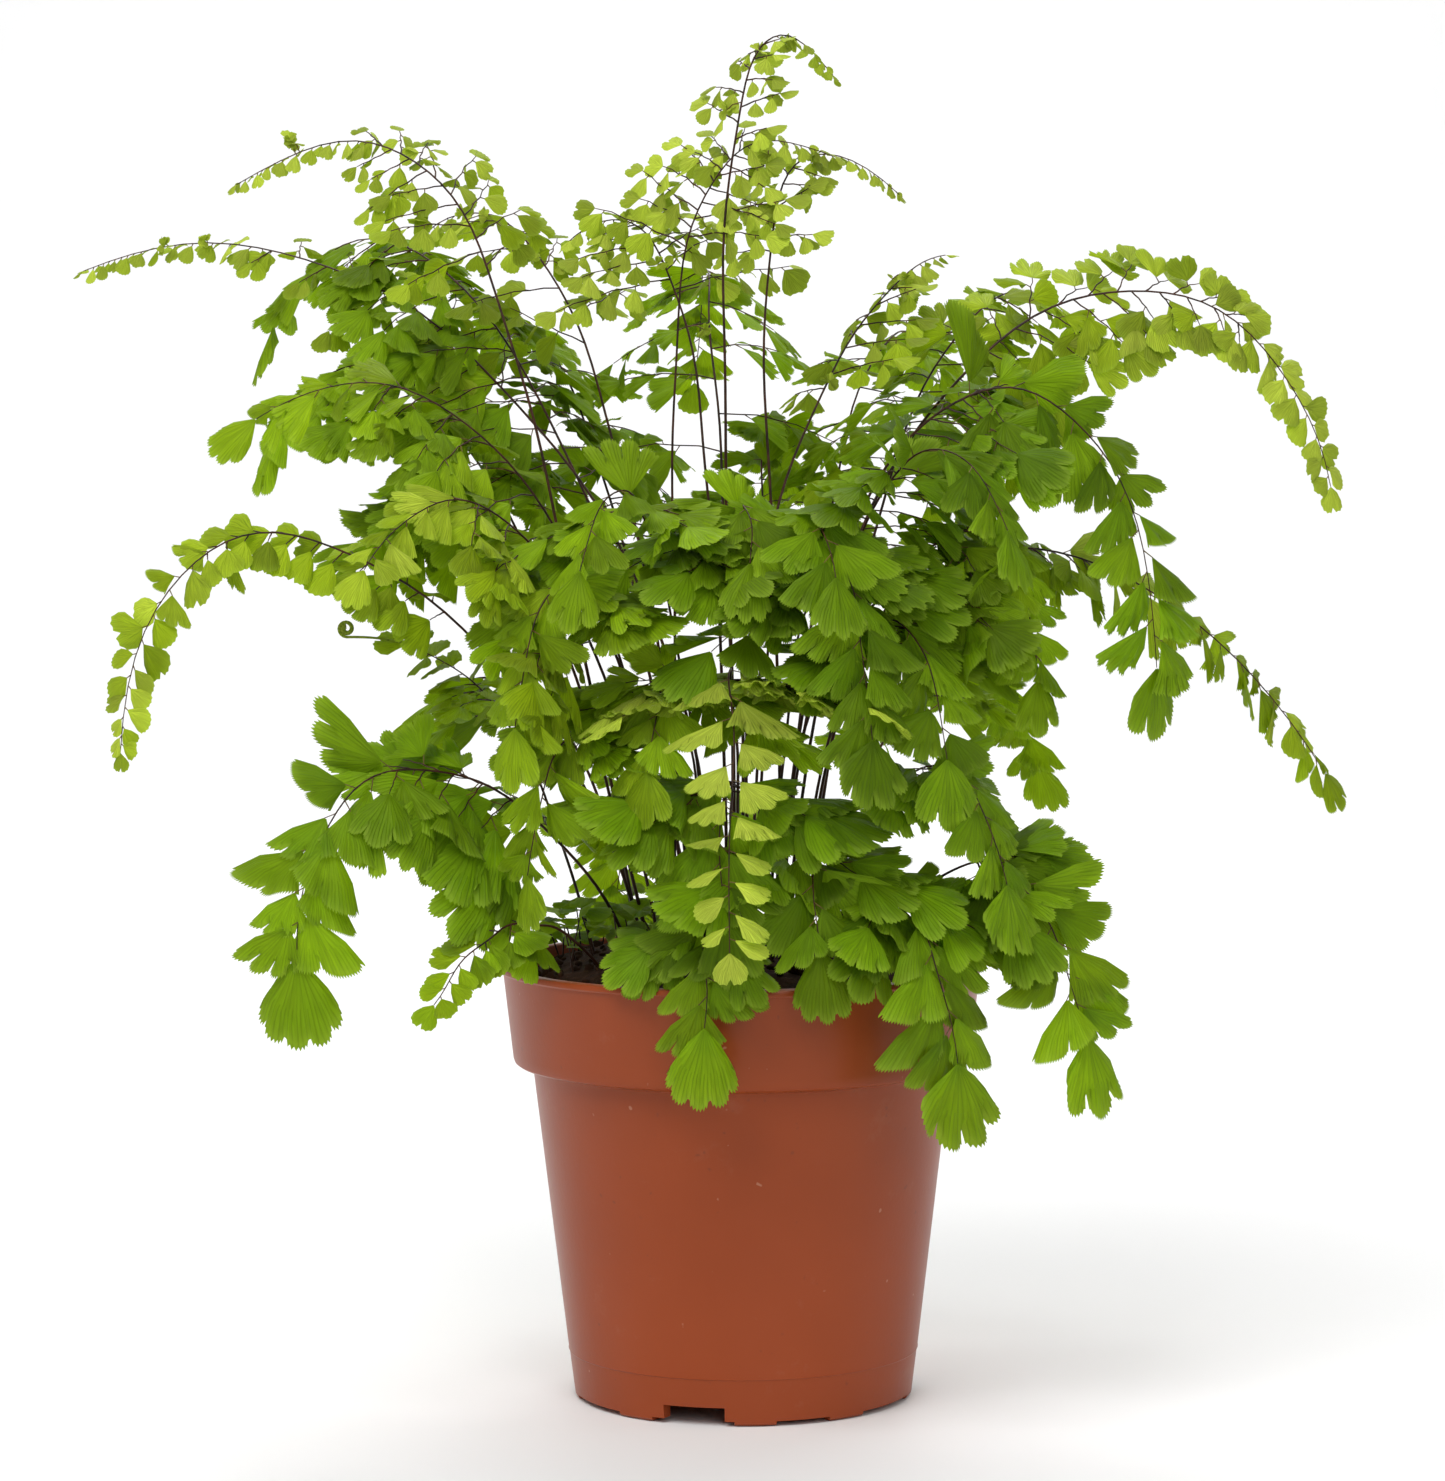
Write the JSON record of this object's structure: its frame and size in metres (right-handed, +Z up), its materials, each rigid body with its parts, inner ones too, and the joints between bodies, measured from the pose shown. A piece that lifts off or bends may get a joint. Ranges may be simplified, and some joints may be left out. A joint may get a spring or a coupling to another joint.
{
  "type": "potted fern",
  "caption": "Maidenhair fern with arching fronds of fan-shaped lobed leaflets, growing from dark soil in a tapered plastic nursery pot with a deep rim band.",
  "frame": {"origin": "centre of the pot's base, on the plane it stands on", "axes": "+Z up along the pot's axis, -Y towards the viewer of the picture, +X to the picture's right"},
  "size_m": [0.3224, 0.2309, 0.3353],
  "materials": {
    "pot": "satin moulded terracotta-coloured plastic",
    "soil": "crumbly dark peat",
    "leaf_palest": "soft matt leaf",
    "leaf_pale": "soft matt leaf",
    "leaf_mid": "soft matt leaf",
    "leaf_deep": "soft matt leaf",
    "leaf_darkest": "soft matt leaf"
  },
  "bodies": {
    "root": {"pot": "pot", "soil": "soil", "frond_upper_left": "leaf_palest", "frond_tall_middle": "leaf_palest", "frond_tall_left": "leaf_palest", "frond_upper_right_small": "leaf_palest", "frond_tallest": "leaf_palest", "frond_upper_right_thin": "leaf_pale", "frond_far_left_thin": "leaf_pale", "frond_back_left_light": "leaf_pale", "frond_right_high": "leaf_mid", "frond_right_drooping": "leaf_darkest", "frond_right_low_long": "leaf_deep", "frond_right_inner": "leaf_deep", "frond_right_back": "leaf_mid", "frond_left_long": "leaf_deep", "frond_left_back_high": "leaf_deep", "frond_left_back_middle": "leaf_deep", "frond_left_high": "leaf_deep", "frond_left_middle": "leaf_deep", "frond_left_lower": "leaf_darkest", "frond_left_lower_small": "leaf_mid", "frond_left_curled": "leaf_mid", "frond_front_left_hanging": "leaf_darkest", "frond_front_left_low": "leaf_deep", "frond_front_pale": "leaf_deep", "frond_front_rim": "leaf_darkest", "frond_front_low": "leaf_darkest", "frond_front_right_hanging": "leaf_darkest", "frond_front_right_broad": "leaf_darkest", "frond_front_right_rim": "leaf_darkest", "frond_right_rim": "leaf_darkest", "frond_middle_left": "leaf_deep", "frond_middle_front": "leaf_deep", "frond_middle_front_right": "leaf_darkest", "frond_middle_right": "leaf_darkest", "frond_inner_left": "leaf_deep", "frond_low_right": "leaf_darkest", "frond_low_middle": "leaf_darkest", "frond_back_high": "leaf_deep", "frond_back_left": "leaf_deep", "frond_back_right": "leaf_deep", "frond_back_low": "leaf_darkest", "frond_back_low_right": "leaf_deep", "frond_back_middle": "leaf_deep", "frond_back_low_left": "leaf_deep"}
  },
  "joints": []
}
